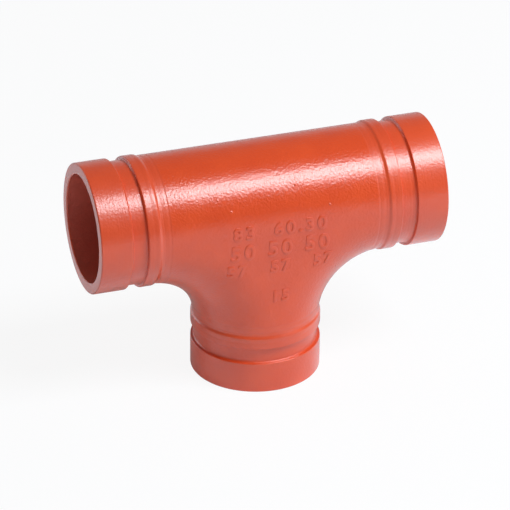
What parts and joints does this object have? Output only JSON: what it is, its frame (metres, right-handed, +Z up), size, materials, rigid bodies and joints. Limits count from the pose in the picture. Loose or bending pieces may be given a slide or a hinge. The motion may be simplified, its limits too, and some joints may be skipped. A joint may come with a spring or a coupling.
{
  "type": "grooved tee",
  "caption": "Cast grooved pipe tee: a straight run with a branch at its middle, open bores that meet inside, and a coupling groove near every rim.",
  "frame": {"origin": "centre of the branch's rim, on the surface that the tee stands on", "axes": "+Z up along the branch to the run, +X along the run, +Y square to both"},
  "size_m": [0.166, 0.0602, 0.1132],
  "materials": {
    "enamel": "glossy orange enamel over as-cast ductile iron, inside as well as outside"
  },
  "bodies": {
    "root": {"tee_body": "enamel"}
  },
  "joints": []
}
